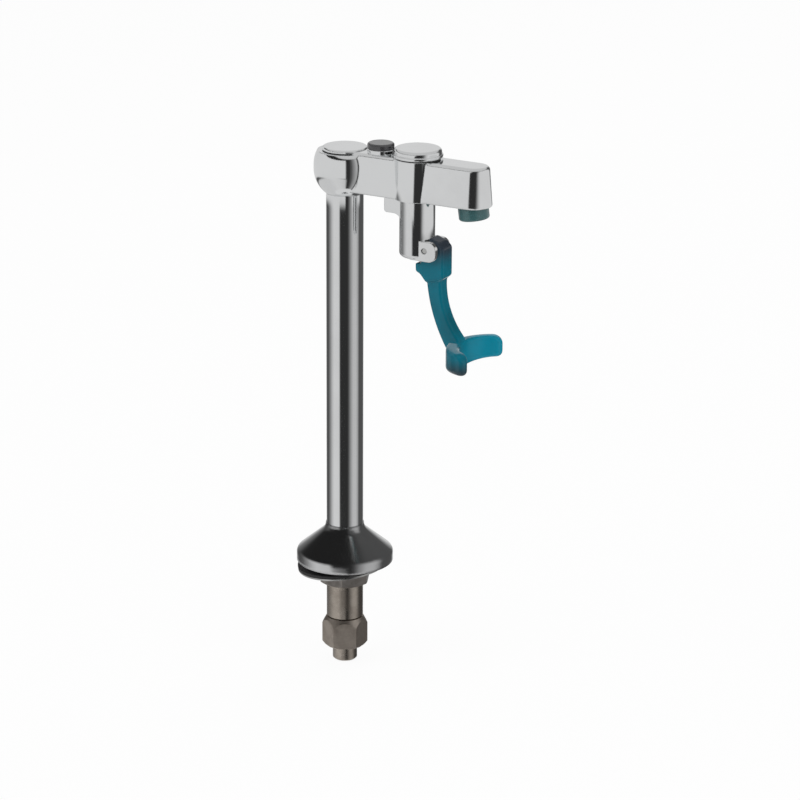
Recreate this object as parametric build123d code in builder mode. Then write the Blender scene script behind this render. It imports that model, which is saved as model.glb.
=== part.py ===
from build123d import *
from math import atan, cos, radians, sin, tan
import os

# Pedestal glass filler. Lengths are millimetres, angles are degrees.
# The origin is the centre of the column on the deck. +Z is up and +X runs along the arm to the outlet.

# Column and head height
column_diameter = 25.4
column_wall = 1.6
head_underside = 263.4

# Deck flange
flange_diameter = 67.0
flange_rim_height = 7.0
flange_height = 23.7
flange_wall = 2.6
flange_collar_wall = 0.6
flange_collar_height = 3.6
flange_collar_blend = 6.0
flange_collar_round = 0.35
flange_hub_wall = 4.2
flange_rim_wall = 2.0
flange_recess_depth = 2.2
flange_seat_width = 4.5
flange_rim_round = 3.5

# Fixing below the deck, shown slack as supplied: the washers hang askew on the lock nut
seal_washer_thickness = 2.2
seal_washer_round = 0.5
clamp_washer_thickness = 1.4
clamp_washer_round = 0.3
washer_bore_play = 2.4
washer_shift = 1.9
washer_lean = 6.2
washer_heading = 208.0
lock_nut_across_flats = 32.0
lock_nut_height = 9.6
lock_nut_turn = 54.0
lock_nut_chamfer = 0.6
nut_cone_angle = 30.0

# Shank, union nut and tail
shank_bore = 15.0
shank_shoulder = 3.0
shank_spigot_length = 17.0
shank_full_length = 42.5
shank_end_diameter = 22.0
shank_end_chamfer = 0.8
union_across_flats = 27.5
union_height = 21.0
union_ledge = 3.5
union_cone_length = 6.0
union_foot_chamfer = 1.8
union_foot_rise = 1.2
union_turn = 30.0
tail_diameter = 17.1
tail_bore = 11.0
tail_collar_thickness = 2.5
tail_end_chamfer = 1.0
tail_neck_relief = 0.25
tail_neck_exposed = 1.0
tail_reach = 75.0
union_washer_thickness = 1.8
union_washer_bore = 12.0
strainer_depth = 9.0
strainer_wall = 0.5
strainer_lip = 2.0
strainer_gap = 0.4
strainer_taper = 0.6
strainer_hole_diameter = 1.2
strainer_hole_pitch = 1.92

# Ball head on the column
ball_radius = 21.0
head_cap_seat_drop = 1.5
ball_blend = 2.8
ball_band_lift = 1.9
head_socket_depth = 15.6
head_cap_radius = 15.4
head_cap_height = 2.0
head_cap_spigot_radius = 12.5
head_cap_spigot_depth = 3.0
head_gasket_thickness = 0.5
head_cap_sink = 11.2
head_cap_crown = 1.0
head_cap_wall = 2.5
head_cap_round = 1.5
head_gasket_inset = 0.4

# Arm with its half-round nose
arm_rise = 3.6
arm_height = 27.3
arm_half_width = 12.5
arm_draft = 4.4
nose_centre = 98.0
arm_top_round = 2.6
arm_bottom_round = 1.4

# Valve tower, lower barrel, inlet boss and fork
valve_setback = 42.2
tower_radius = 15.5
tower_blend = 3.0
barrel_radius = 12.0
barrel_length = 40.2
barrel_round = 3.5
boss_reach = 20.3
boss_half_width = 9.0
boss_drop = 10.3
boss_round = 2.0
boss_fillet = 4.0
boss_overlap = 3.0
toe_bore_radius = 6.9
fork_overhang = 8.7
fork_height = 13.4
cheek_thickness = 3.1
cheek_round = 5.5
slot_rise = 14.0

# Waterways
inlet_passage_drop = 6.8
inlet_passage_radius = 3.0
outlet_passage_rise = 6.5
outlet_passage_radius = 4.0
valve_bore_radius = 8.0
chamber_radius = 10.5
chamber_depth = 11.8

# Valve trim
guide_rise = 19.2
guide_length = 16.0
stem_radius = 3.0
stem_thread_radius = 2.0
seat_height = 4.8
seat_bore_radius = 4.6
seat_lip_radius = 6.6
seat_lip_inner_radius = 5.4
seat_lip_height = 1.0
seat_washer_thickness = 2.5
seat_washer_radius = 7.0
poppet_radius = 7.8
poppet_plate = 1.6
poppet_skirt = 1.4
poppet_nut_across_flats = 5.5
poppet_nut_height = 2.4
seal_section_radius = 0.9
seal_skin_gap = 0.02
guide_groove_rise = 6.4
stem_foot_chamfer = 0.4
stem_thread_spare = 0.4
guide_cup_depth = 5.6
seal_retainer_thickness = 1.2

# Valve cap and spring
valve_cap_radius = 16.1
valve_cap_ring_radius = 16.9
valve_cap_ring_height = 2.2
valve_cap_height = 5.8
valve_cap_round = 2.2
valve_cap_spigot_depth = 2.6
valve_cap_hollow_radius = 8.2
valve_cap_crown = 2.5
valve_cap_ring_round = 0.7
valve_gasket_inset = 0.3
valve_gasket_thickness = 1.0
spring_wire = 0.9
spring_mean_radius = 5.3
spring_turns = 4.5

# Flow regulator
regulator_setback = 28.1
regulator_plug_radius = 5.5
regulator_plug_drop = 4.5
regulator_plug_rise = 3.4
regulator_neck_radius = 3.0
regulator_bush_radius = 9.0
regulator_bush_height = 3.0
regulator_spigot_radius = 7.0
regulator_spigot_depth = 3.3
regulator_cap_radius = 9.1
regulator_cap_height = 3.7
regulator_cap_round = 1.6
regulator_socket_depth = 2.2
regulator_bush_round = 0.6
bush_groove_rise = 1.4

# Outlet nozzle
nozzle_setback = 0.4
nozzle_lean = 8.0
nozzle_radius = 10.2
nozzle_drop = 8.8
nozzle_spigot_radius = 8.5
nozzle_spigot_length = 8.0
nozzle_bore_radius = 5.8
nozzle_mouth_radius = 7.0
nozzle_mouth_depth = 4.6
nozzle_round = 1.6
nozzle_groove_rise = 2.8
nozzle_groove_width = 1.8
nozzle_groove_depth = 1.5
straightener_hole_radius = 1.25
straightener_hole_pitch = 3.12
straightener_inset = 0.6

# Lever
pivot_offset = 10.7
pivot_rise = 7.2
pin_radius = 2.0
pin_recess = 0.5
pin_chamfer = 0.4
lever_travel = 15.0
toe_radius = 2.6
toe_width = 8.0
hood_rise = 8.2
hood_front_drop = 2.6
hood_reach = 12.9
hood_corner = 3.6
hood_round = 2.0
skirt_drop = 17.7
skirt_corner = 2.4
heel_reach = 8.3
heel_drop_below_pivot = 16.0
heel_corner = 3.0
heel_neck_drop = 22.6
heel_neck_setback = 1.0
lever_head_round = 1.6
toe_neck = 4.0
hood_back_rise = 5.0
lever_arm_width = 10.0
lever_arm_round = 2.0
arm_back_bow = 3.0
arm_front_bow = 4.2
arm_foot_depth = 8.5
foot_half_depth = 2.0
foot_rise = 5.0
foot_inset = 0.3
foot_front_rise = 1.8
pad_reach = 20.5
pad_arc_radius = 27.5
pad_half_angle = 66.0
pad_thickness = 8.6
pad_drop = 61.4
pad_height = 14.0
pad_belly = 5.6
pad_top_round = 2.5
pad_tip_round = 7.6
pad_tip_lead = 0.5
pad_foot_round = 3.4
pad_belly_round = 20.0

# Clearances
fit_clearance = 0.05
hidden_gap = 0.2
stop_gap = 0.25
free_play = 0.1

# Sizes worked out from the ones above
column_radius = column_diameter / 2
column_bore_radius = column_radius - column_wall
flange_radius = flange_diameter / 2
flange_bore_radius = column_radius + fit_clearance
flange_hub_radius = column_radius + flange_hub_wall
flange_lip_radius = column_radius + flange_collar_wall
flange_slope = (flange_height - flange_rim_height) / (flange_radius - flange_lip_radius)
flange_roof_drop = flange_wall / cos(atan(flange_slope))
flange_recess_radius = flange_radius - flange_rim_wall
flange_collar_top = flange_height + flange_collar_height
valve_x = nose_centre - valve_setback
boss_start = valve_x - boss_reach
regulator_x = valve_x - regulator_setback
arm_bottom = head_underside + arm_rise
arm_top = arm_bottom + arm_height
barrel_bottom = arm_bottom - barrel_length
boss_bottom = arm_bottom - boss_drop
inlet_passage_z = arm_top - inlet_passage_drop
outlet_passage_z = arm_bottom + outlet_passage_rise
chamber_floor = arm_top - chamber_depth
guide_shoulder = barrel_bottom + guide_rise
head_cap_seat = arm_top - head_cap_seat_drop
ball_low_centre = (head_underside + head_cap_seat) / 2 + ball_band_lift
ball_high_centre = head_cap_seat + head_cap_sink - ball_radius
column_top = head_underside + head_socket_depth
shank_end_radius = shank_end_diameter / 2
union_top = -shank_full_length - hidden_gap
union_bottom = union_top - union_height
collar_bottom = union_bottom + union_ledge
collar_top = collar_bottom + tail_collar_thickness
shank_bottom = collar_top + union_washer_thickness
valve_cap_base = arm_top + valve_gasket_thickness
valve_cap_top = valve_cap_base + valve_cap_height
valve_cap_hollow_top = valve_cap_top - valve_cap_crown
regulator_plug_bottom = inlet_passage_z - regulator_plug_drop
regulator_plug_top = inlet_passage_z + regulator_plug_rise
nozzle_x = nose_centre - nozzle_setback
pivot_x = valve_x + pivot_offset
pivot_z = barrel_bottom + pivot_rise
fork_reach = pivot_x + fork_overhang
slot_top = barrel_bottom + slot_rise
fork_half_slot = toe_bore_radius
fork_half_width = fork_half_slot + cheek_thickness
lever_head_width = 2 * (fork_half_slot - stop_gap)
seat_face = chamber_floor + seat_lip_height
stem_foot = pivot_z + toe_radius + free_play
poppet_top = seat_face + seat_washer_thickness + poppet_plate


def half_section(*corners):
    """Closed outline in the XZ plane, to be turned about an axis."""
    with BuildSketch(Plane.XZ) as outline:
        with BuildLine():
            Polyline(*corners, close=True)
        make_face()
    return outline.sketch


def upright_axis(x):
    """Vertical axis through a point on the arm's centreline."""
    return Axis((x, 0, 0), (0, 0, 1))


def ring_section(inner, outer, low, high, x=0.0):
    """Rectangular half section of a ring, its centre at x."""
    return half_section((x + inner, low), (x + outer, low), (x + outer, high), (x + inner, high))


os.makedirs("parts", exist_ok=True)

# Shank: threaded below the deck, with a spigot brazed into the column
with BuildPart() as mounting_shank:
    revolve(half_section(
        (shank_bore / 2, shank_bottom),
        (shank_end_radius, shank_bottom),
        (shank_end_radius, -shank_full_length),
        (column_radius, -shank_full_length),
        (column_radius, shank_shoulder),
        (column_bore_radius - fit_clearance, shank_shoulder),
        (column_bore_radius - fit_clearance, shank_shoulder + shank_spigot_length),
        (shank_bore / 2, shank_shoulder + shank_spigot_length),
    ), axis=Axis.Z)
    shank_ends = mounting_shank.edges().filter_by(GeomType.CIRCLE)
    chamfer(shank_ends.filter_by_position(Axis.Z, shank_bottom, -shank_full_length)
            .sort_by(SortBy.RADIUS)[-1], length=shank_end_chamfer)
mounting_shank.part.label = "mounting_shank"
export_step(mounting_shank.part, "parts/mounting_shank.step")

# Column tube
with BuildPart() as column_tube:
    revolve(ring_section(column_bore_radius, column_radius, shank_shoulder, column_top), axis=Axis.Z)
column_tube.part.label = "column_tube"
export_step(column_tube.part, "parts/column_tube.step")

# Conical deck flange, hollow beneath, with a hub round the shank
with BuildPart() as deck_flange:
    roof_at_hub = flange_rim_height + flange_slope * (flange_radius - flange_hub_radius) - flange_roof_drop
    roof_outer = flange_recess_radius - flange_seat_width
    roof_at_rim = flange_rim_height + flange_slope * (flange_radius - roof_outer) - flange_roof_drop
    revolve(half_section(
        (flange_bore_radius, flange_recess_depth),
        (flange_hub_radius, flange_recess_depth),
        (flange_hub_radius, roof_at_hub),
        (roof_outer, roof_at_rim),
        (roof_outer, flange_recess_depth),
        (flange_recess_radius, flange_recess_depth),
        (flange_recess_radius, 0),
        (flange_radius, 0),
        (flange_radius, flange_rim_height),
        (flange_lip_radius, flange_height),
        (flange_lip_radius, flange_collar_top),
        (flange_bore_radius, flange_collar_top),
    ), axis=Axis.Z)
    cone_circles = deck_flange.edges().filter_by(GeomType.CIRCLE)
    fillet(cone_circles.filter_by_position(Axis.Z, flange_height, flange_height), radius=flange_collar_blend)
    fillet(deck_flange.edges().filter_by(GeomType.CIRCLE).group_by(Axis.Z)[-1].sort_by(SortBy.RADIUS)[-1],
           radius=flange_collar_round)
    rim_circles = deck_flange.edges().filter_by(GeomType.CIRCLE)
    fillet(rim_circles.filter_by_position(Axis.Z, flange_rim_height, flange_rim_height)
           .sort_by(SortBy.RADIUS)[-1], radius=flange_rim_round)
deck_flange.part.label = "deck_flange"
export_step(deck_flange.part, "parts/deck_flange.step")

# Rubber seal and metal clamp washer. Their high side lies up in the recess of the flange,
# where the seal is pressed against the deck once the tap is fitted.
washer_radius = flange_recess_radius - hidden_gap
washer_bore_radius = column_radius + washer_bore_play
lean_sin = sin(radians(washer_lean))
lean_cos = cos(radians(washer_lean))
low_side_x = cos(radians(washer_heading))
low_side_y = sin(radians(washer_heading))
washer_top = flange_recess_depth - stop_gap - washer_radius * lean_sin
washer_plane = Plane(
    origin=(washer_shift * low_side_x, washer_shift * low_side_y, washer_top),
    z_dir=(low_side_x * lean_sin, low_side_y * lean_sin, lean_cos),
)
with BuildPart() as seal_washer:
    with BuildSketch(washer_plane):
        Circle(washer_radius)
        Circle(washer_bore_radius, mode=Mode.SUBTRACT)
    extrude(amount=-seal_washer_thickness)
    fillet(seal_washer.edges().filter_by(GeomType.CIRCLE).group_by(SortBy.RADIUS)[-1],
           radius=seal_washer_round)
seal_washer.part.label = "seal_washer"
export_step(seal_washer.part, "parts/seal_washer.step")

with BuildPart() as clamp_washer:
    with BuildSketch(washer_plane.offset(-seal_washer_thickness)):
        Circle(washer_radius - fit_clearance)
        Circle(washer_bore_radius, mode=Mode.SUBTRACT)
    extrude(amount=-clamp_washer_thickness)
    fillet(clamp_washer.edges().filter_by(GeomType.CIRCLE).group_by(SortBy.RADIUS)[-1],
           radius=clamp_washer_round)
clamp_washer.part.label = "clamp_washer"
export_step(clamp_washer.part, "parts/clamp_washer.step")

# Lock nut that pulls the tap down on to the deck
lock_nut_corner = lock_nut_across_flats / 2 / cos(radians(30))
washer_stack = (seal_washer_thickness + clamp_washer_thickness) / lean_cos
nut_reach = lock_nut_corner - washer_shift
lock_nut_top = washer_top - washer_stack - nut_reach * tan(radians(washer_lean)) - stop_gap
lock_nut_bottom = lock_nut_top - lock_nut_height
lock_nut_face_radius = lock_nut_across_flats / 2
cone_rise = (lock_nut_corner - lock_nut_face_radius) * tan(radians(nut_cone_angle))
with BuildPart() as lock_nut:
    with BuildSketch(Plane.XY.offset(lock_nut_top)):
        RegularPolygon(lock_nut_face_radius, 6, major_radius=False, rotation=lock_nut_turn)
    extrude(amount=-lock_nut_height)
    revolve(half_section(
        (0, lock_nut_top), (lock_nut_face_radius, lock_nut_top), (lock_nut_corner, lock_nut_top - cone_rise),
        (lock_nut_corner, lock_nut_bottom + cone_rise), (lock_nut_face_radius, lock_nut_bottom),
        (0, lock_nut_bottom),
    ), axis=Axis.Z, mode=Mode.INTERSECT)
    with BuildSketch(Plane.XY.offset(lock_nut_top)):
        Circle(column_radius + fit_clearance)
    extrude(amount=-lock_nut_height, mode=Mode.SUBTRACT)
    nut_bore_edges = lock_nut.edges().filter_by(GeomType.CIRCLE).filter_by(
        lambda edge: abs(edge.radius - column_radius - fit_clearance) < fit_clearance)
    chamfer(nut_bore_edges, length=lock_nut_chamfer)
lock_nut.part.label = "lock_nut"
export_step(lock_nut.part, "parts/lock_nut.step")

# Union nut, its upper end turned to a cone and its ledge under the tail's collar
union_corner = union_across_flats / 2 / cos(radians(30))
with BuildPart() as union_nut:
    with BuildSketch(Plane.XY.offset(union_top)):
        RegularPolygon(union_across_flats / 2, 6, major_radius=False, rotation=union_turn)
    extrude(amount=-union_height)
    revolve(half_section(
        (0, union_top), (column_radius, union_top), (union_corner, union_top - union_cone_length),
        (union_corner, union_bottom + union_foot_rise), (union_corner - union_foot_chamfer, union_bottom),
        (0, union_bottom),
    ), axis=Axis.Z, mode=Mode.INTERSECT)
    with BuildSketch(Plane.XY.offset(union_top)):
        Circle(shank_end_radius + fit_clearance)
    extrude(amount=union_ledge - union_height, mode=Mode.SUBTRACT)
    with BuildSketch(Plane.XY.offset(union_bottom)):
        Circle(tail_diameter / 2 + fit_clearance)
    extrude(amount=union_ledge, mode=Mode.SUBTRACT)
union_nut.part.label = "union_nut"
export_step(union_nut.part, "parts/union_nut.step")

# Tail with a collar that the union nut clamps against the washer
tail_radius = tail_diameter / 2
tail_neck_bottom = union_bottom - tail_neck_exposed
strainer_radius = tail_bore / 2 - fit_clearance
strainer_flange_radius = strainer_radius + strainer_lip
strainer_cup_radius = strainer_radius - strainer_gap
strainer_foot_radius = strainer_cup_radius - strainer_taper
with BuildPart() as tail_piece:
    revolve(half_section(
        (tail_bore / 2, -tail_reach),
        (tail_radius, -tail_reach),
        (tail_radius, tail_neck_bottom),
        (tail_radius - tail_neck_relief, tail_neck_bottom),
        (tail_radius - tail_neck_relief, collar_bottom),
        (shank_end_radius - fit_clearance, collar_bottom),
        (shank_end_radius - fit_clearance, collar_top),
        (strainer_flange_radius + fit_clearance, collar_top),
        (strainer_flange_radius + fit_clearance, collar_top - strainer_wall),
        (tail_bore / 2, collar_top - strainer_wall),
    ), axis=Axis.Z)
    chamfer(tail_piece.edges().filter_by(GeomType.CIRCLE).group_by(Axis.Z)[0]
            .sort_by(SortBy.RADIUS)[-1], length=tail_end_chamfer)
tail_piece.part.label = "tail_piece"
export_step(tail_piece.part, "parts/tail_piece.step")

# Cup-shaped strainer dropped into the tail
with BuildPart() as inlet_strainer:
    revolve(half_section(
        (0, collar_top - strainer_depth),
        (strainer_foot_radius, collar_top - strainer_depth),
        (strainer_cup_radius, collar_top - strainer_wall),
        (strainer_flange_radius, collar_top - strainer_wall),
        (strainer_flange_radius, collar_top),
        (strainer_cup_radius - strainer_wall, collar_top),
        (strainer_foot_radius - strainer_wall, collar_top - strainer_depth + strainer_wall),
        (0, collar_top - strainer_depth + strainer_wall),
    ), axis=Axis.Z)
    with BuildSketch(Plane.XY.offset(collar_top - strainer_depth)):
        with HexLocations(strainer_hole_pitch / 2, 3, 3):
            Circle(strainer_hole_diameter / 2)
    extrude(amount=strainer_wall, mode=Mode.SUBTRACT)
inlet_strainer.part.label = "inlet_strainer"
export_step(inlet_strainer.part, "parts/inlet_strainer.step")

with BuildPart() as union_washer:
    revolve(ring_section(union_washer_bore / 2, shank_end_radius - fit_clearance,
                         collar_top, collar_top + union_washer_thickness), axis=Axis.Z)
union_washer.part.label = "union_washer"
export_step(union_washer.part, "parts/union_washer.step")

# Head casting: ball, arm, nose, valve tower, lower barrel, inlet boss and fork in one piece
with BuildPart() as valve_body:
    with BuildSketch(Plane.XY.offset(arm_bottom)):
        with Locations((nose_centre / 2, 0)):
            Rectangle(nose_centre, 2 * arm_half_width)
        with Locations((nose_centre, 0)):
            Circle(arm_half_width)
    extrude(amount=arm_height, taper=arm_draft)
    fillet(valve_body.edges().group_by(Axis.Z)[-1].filter_by(lambda edge: edge.center().X > 1),
           radius=arm_top_round)
    fillet(valve_body.edges().group_by(Axis.Z)[0].filter_by(lambda edge: edge.center().X > 1),
           radius=arm_bottom_round)
    # Tower and barrel
    with BuildSketch(Plane.XY.offset(arm_bottom)):
        with Locations((valve_x, 0)):
            Circle(tower_radius)
    extrude(amount=arm_height)
    tower_creases = valve_body.edges().filter_by(lambda edge: abs(edge.center().X - valve_x) < tower_radius
                                                 and abs(edge.center().Y) > arm_half_width / 2)
    fillet(tower_creases.filter_by_position(Axis.Z, arm_bottom + fit_clearance, arm_top - fit_clearance),
           radius=tower_blend)
    # Inlet boss under the arm
    with BuildSketch(Plane.XZ):
        with BuildLine():
            Polyline((boss_start, arm_bottom + boss_overlap), (boss_start, boss_bottom),
                     (valve_x, boss_bottom), (valve_x, arm_bottom + boss_overlap), close=True)
        make_face()
    extrude(amount=boss_half_width, both=True)
    boss_edges = valve_body.edges().filter_by_position(Axis.X, boss_start - 0.1, boss_start + 0.1)
    fillet(boss_edges.filter_by_position(Axis.Z, boss_bottom - 0.1, boss_bottom + 0.1), radius=boss_round)
    with BuildSketch(Plane.XY.offset(barrel_bottom)):
        with Locations((valve_x, 0)):
            Circle(barrel_radius)
    extrude(amount=arm_bottom - barrel_bottom + boss_overlap)
    fillet(valve_body.edges().filter_by(GeomType.CIRCLE).group_by(Axis.Z)[0], radius=barrel_round)
    under_boss = valve_body.edges().filter_by(GeomType.CIRCLE).filter_by_position(
        Axis.Z, boss_bottom - 0.1, boss_bottom + 0.1)
    fillet(under_boss, radius=boss_fillet)
    # Ball head on the column axis
    with BuildSketch(Plane.XZ):
        with BuildLine():
            lip = ball_low_centre - head_underside
            low_lip_radius = (ball_radius ** 2 - lip ** 2) ** 0.5
            crown = head_cap_seat - ball_high_centre
            crown_radius = (ball_radius ** 2 - crown ** 2) ** 0.5
            Line((0, head_underside), (low_lip_radius, head_underside))
            RadiusArc((low_lip_radius, head_underside), (ball_radius, ball_low_centre), -ball_radius)
            Line((ball_radius, ball_low_centre), (ball_radius, ball_high_centre))
            RadiusArc((ball_radius, ball_high_centre), (crown_radius, head_cap_seat), -ball_radius)
            Line((crown_radius, head_cap_seat), (0, head_cap_seat))
            Line((0, head_cap_seat), (0, head_underside))
        make_face()
    revolve(axis=Axis.Z)
    ball_creases = valve_body.edges().filter_by_position(Axis.X, column_radius / 2, ball_radius + ball_blend)
    fillet(ball_creases.filter_by(lambda edge: abs(edge.center().Y) > ball_blend)
           .filter_by_position(Axis.Z, head_underside + fit_clearance, arm_top - fit_clearance),
           radius=ball_blend)
    # Fork cheeks beside the lever
    with BuildSketch(Plane.XZ):
        with BuildLine():
            Polyline((valve_x, barrel_bottom), (fork_reach, barrel_bottom),
                     (fork_reach, barrel_bottom + fork_height),
                     (valve_x, barrel_bottom + fork_height), close=True)
        make_face()
        fillet(vertices().group_by(Axis.X)[-1], radius=cheek_round)
    extrude(amount=fork_half_width, both=True)
    # Seat for the ball head's cap, its thread and the water space above the column
    with BuildSketch(Plane.XY.offset(head_cap_seat)):
        Circle(head_cap_radius + hidden_gap)
    extrude(amount=arm_top - head_cap_seat + 1, mode=Mode.SUBTRACT)
    with BuildSketch(Plane.XY.offset(head_cap_seat)):
        Circle(head_cap_spigot_radius)
    extrude(amount=-head_cap_spigot_depth, mode=Mode.SUBTRACT)
    with BuildSketch(Plane.XY.offset(column_top)):
        Circle(column_bore_radius)
    extrude(amount=head_cap_seat - column_top, mode=Mode.SUBTRACT)
    with BuildSketch(Plane.XY.offset(head_underside)):
        Circle(column_radius + fit_clearance)
    extrude(amount=head_socket_depth, mode=Mode.SUBTRACT)
    # Inlet passage from the ball head to the valve chamber
    with BuildSketch(Plane.YZ):
        with Locations((0, inlet_passage_z)):
            Circle(inlet_passage_radius)
    extrude(amount=valve_x, mode=Mode.SUBTRACT)
    # Valve chamber, bore for seat and guide, and the toe's hollow
    with BuildSketch(Plane.XY.offset(chamber_floor)):
        with Locations((valve_x, 0)):
            Circle(chamber_radius)
    extrude(amount=arm_top - chamber_floor, mode=Mode.SUBTRACT)
    with BuildSketch(Plane.XY.offset(guide_shoulder)):
        with Locations((valve_x, 0)):
            Circle(valve_bore_radius)
    extrude(amount=chamber_floor - guide_shoulder, mode=Mode.SUBTRACT)
    with BuildSketch(Plane.XY.offset(barrel_bottom)):
        with Locations((valve_x, 0)):
            Circle(toe_bore_radius)
    extrude(amount=guide_shoulder - barrel_bottom, mode=Mode.SUBTRACT)
    with BuildSketch(Plane.XZ):
        with BuildLine():
            Polyline((valve_x, barrel_bottom - 1), (fork_reach + 1, barrel_bottom - 1),
                     (fork_reach + 1, barrel_bottom + fork_height + 1),
                     (valve_x + barrel_radius + 0.1, barrel_bottom + fork_height + 1),
                     (valve_x + barrel_radius + 0.1, slot_top),
                     (valve_x, slot_top), close=True)
        make_face()
    extrude(amount=fork_half_slot, both=True, mode=Mode.SUBTRACT)
    # Outlet passage, and the nozzle's leaning socket
    with BuildSketch(Plane.YZ.offset(valve_x)):
        with Locations((0, outlet_passage_z)):
            Circle(outlet_passage_radius)
    extrude(amount=nozzle_x - valve_x, mode=Mode.SUBTRACT)
    nozzle_plane = Plane(
        origin=(nozzle_x, 0, arm_bottom),
        x_dir=(cos(radians(nozzle_lean)), 0, sin(radians(nozzle_lean))),
        z_dir=(-sin(radians(nozzle_lean)), 0, cos(radians(nozzle_lean))),
    )
    with BuildSketch(nozzle_plane.offset(-2)):
        Circle(nozzle_spigot_radius + fit_clearance)
    extrude(amount=2 + nozzle_spigot_length + hidden_gap, mode=Mode.SUBTRACT)
    # Regulator bore and thread
    with BuildSketch(Plane.XY.offset(regulator_plug_bottom - hidden_gap)):
        with Locations((regulator_x, 0)):
            Circle(regulator_plug_radius + fit_clearance)
    extrude(amount=arm_top - regulator_plug_bottom + hidden_gap, mode=Mode.SUBTRACT)
    with BuildSketch(Plane.XY.offset(arm_top)):
        with Locations((regulator_x, 0)):
            Circle(regulator_spigot_radius)
    extrude(amount=-regulator_spigot_depth, mode=Mode.SUBTRACT)
    # Hole for the lever's pin
    with BuildSketch(Plane.XZ):
        with Locations((pivot_x, pivot_z)):
            Circle(pin_radius)
    extrude(amount=fork_half_width + 1, both=True, mode=Mode.SUBTRACT)
valve_body.part.label = "valve_body"
export_step(valve_body.part, "parts/valve_body.step")

# Cap and gasket of the ball head
with BuildPart() as head_gasket:
    revolve(ring_section(head_cap_spigot_radius + hidden_gap, head_cap_radius - head_gasket_inset,
                         head_cap_seat, head_cap_seat + head_gasket_thickness), axis=Axis.Z)
head_gasket.part.label = "head_gasket"
export_step(head_gasket.part, "parts/head_gasket.step")

head_cap_base = head_cap_seat + head_gasket_thickness
with BuildPart() as head_cap:
    revolve(half_section(
        (0, head_cap_base - head_cap_crown),
        (head_cap_spigot_radius - head_cap_wall, head_cap_base - head_cap_crown),
        (head_cap_spigot_radius - head_cap_wall, head_cap_seat - head_cap_spigot_depth),
        (head_cap_spigot_radius - fit_clearance, head_cap_seat - head_cap_spigot_depth),
        (head_cap_spigot_radius - fit_clearance, head_cap_base),
        (head_cap_radius, head_cap_base),
        (head_cap_radius, head_cap_base + head_cap_height),
        (0, head_cap_base + head_cap_height),
    ), axis=Axis.Z)
    fillet(head_cap.edges().filter_by(GeomType.CIRCLE).group_by(Axis.Z)[-1], radius=head_cap_round)
head_cap.part.label = "head_cap"
export_step(head_cap.part, "parts/head_cap.step")

# Stem guide with a cup for the stem seals
guide_top = guide_shoulder + guide_length
cup_floor = guide_top - guide_cup_depth
cup_radius = stem_radius + fit_clearance + 2 * seal_section_radius
guide_radius = valve_bore_radius - fit_clearance
seal_groove_width = 2 * (seal_section_radius + free_play)
outer_groove = guide_shoulder + guide_groove_rise
with BuildPart() as stem_guide:
    revolve(half_section(
        (valve_x + stem_radius + fit_clearance, guide_shoulder),
        (valve_x + guide_radius, guide_shoulder),
        (valve_x + guide_radius, outer_groove),
        (valve_x + guide_radius - 2 * seal_section_radius, outer_groove),
        (valve_x + guide_radius - 2 * seal_section_radius, outer_groove + seal_groove_width),
        (valve_x + guide_radius, outer_groove + seal_groove_width),
        (valve_x + guide_radius, guide_top),
        (valve_x + cup_radius, guide_top),
        (valve_x + cup_radius, cup_floor),
        (valve_x + stem_radius + fit_clearance, cup_floor),
    ), axis=upright_axis(valve_x))
stem_guide.part.label = "stem_guide"
export_step(stem_guide.part, "parts/stem_guide.step")

with BuildPart() as guide_seal:
    with Locations((valve_x, 0, outer_groove + seal_groove_width / 2)):
        Torus(guide_radius - seal_section_radius, seal_section_radius - seal_skin_gap)
guide_seal.part.label = "guide_seal"
export_step(guide_seal.part, "parts/guide_seal.step")

with BuildPart() as stem_seals:
    for layer in range(2):
        with Locations((valve_x, 0, cup_floor + (0.5 + layer) * seal_groove_width)):
            Torus(stem_radius + fit_clearance + seal_section_radius, seal_section_radius - seal_skin_gap)
stem_seals.part.label = "stem_seals"
export_step(stem_seals.part, "parts/stem_seals.step")

with BuildPart() as seal_retainer:
    revolve(ring_section(stem_radius + fit_clearance, cup_radius - fit_clearance,
                         guide_top - seal_retainer_thickness, guide_top, valve_x), axis=upright_axis(valve_x))
seal_retainer.part.label = "seal_retainer"
export_step(seal_retainer.part, "parts/seal_retainer.step")

# Screwed-in seat with a raised lip
with BuildPart() as valve_seat:
    revolve(half_section(
        (valve_x + seat_bore_radius, chamber_floor - seat_height),
        (valve_x + valve_bore_radius - fit_clearance, chamber_floor - seat_height),
        (valve_x + valve_bore_radius - fit_clearance, chamber_floor),
        (valve_x + seat_lip_radius, chamber_floor),
        (valve_x + seat_lip_radius, seat_face),
        (valve_x + seat_lip_inner_radius, seat_face),
        (valve_x + seat_bore_radius, chamber_floor),
    ), axis=upright_axis(valve_x))
valve_seat.part.label = "valve_seat"
export_step(valve_seat.part, "parts/valve_seat.step")

# Stem, resting on the lever's toe
stem_top = poppet_top + poppet_nut_height + stem_thread_spare
with BuildPart() as stem:
    revolve(half_section(
        (valve_x, stem_foot),
        (valve_x + stem_radius, stem_foot),
        (valve_x + stem_radius, seat_face),
        (valve_x + stem_thread_radius, seat_face),
        (valve_x + stem_thread_radius, stem_top),
        (valve_x, stem_top),
    ), axis=upright_axis(valve_x))
    chamfer(stem.edges().filter_by(GeomType.CIRCLE).group_by(Axis.Z)[0], length=stem_foot_chamfer)
stem.part.label = "stem"
export_step(stem.part, "parts/stem.step")

with BuildPart() as seat_washer:
    revolve(ring_section(stem_thread_radius + fit_clearance, seat_washer_radius - fit_clearance,
                         seat_face, seat_face + seat_washer_thickness, valve_x), axis=upright_axis(valve_x))
seat_washer.part.label = "seat_washer"
export_step(seat_washer.part, "parts/seat_washer.step")

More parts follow.
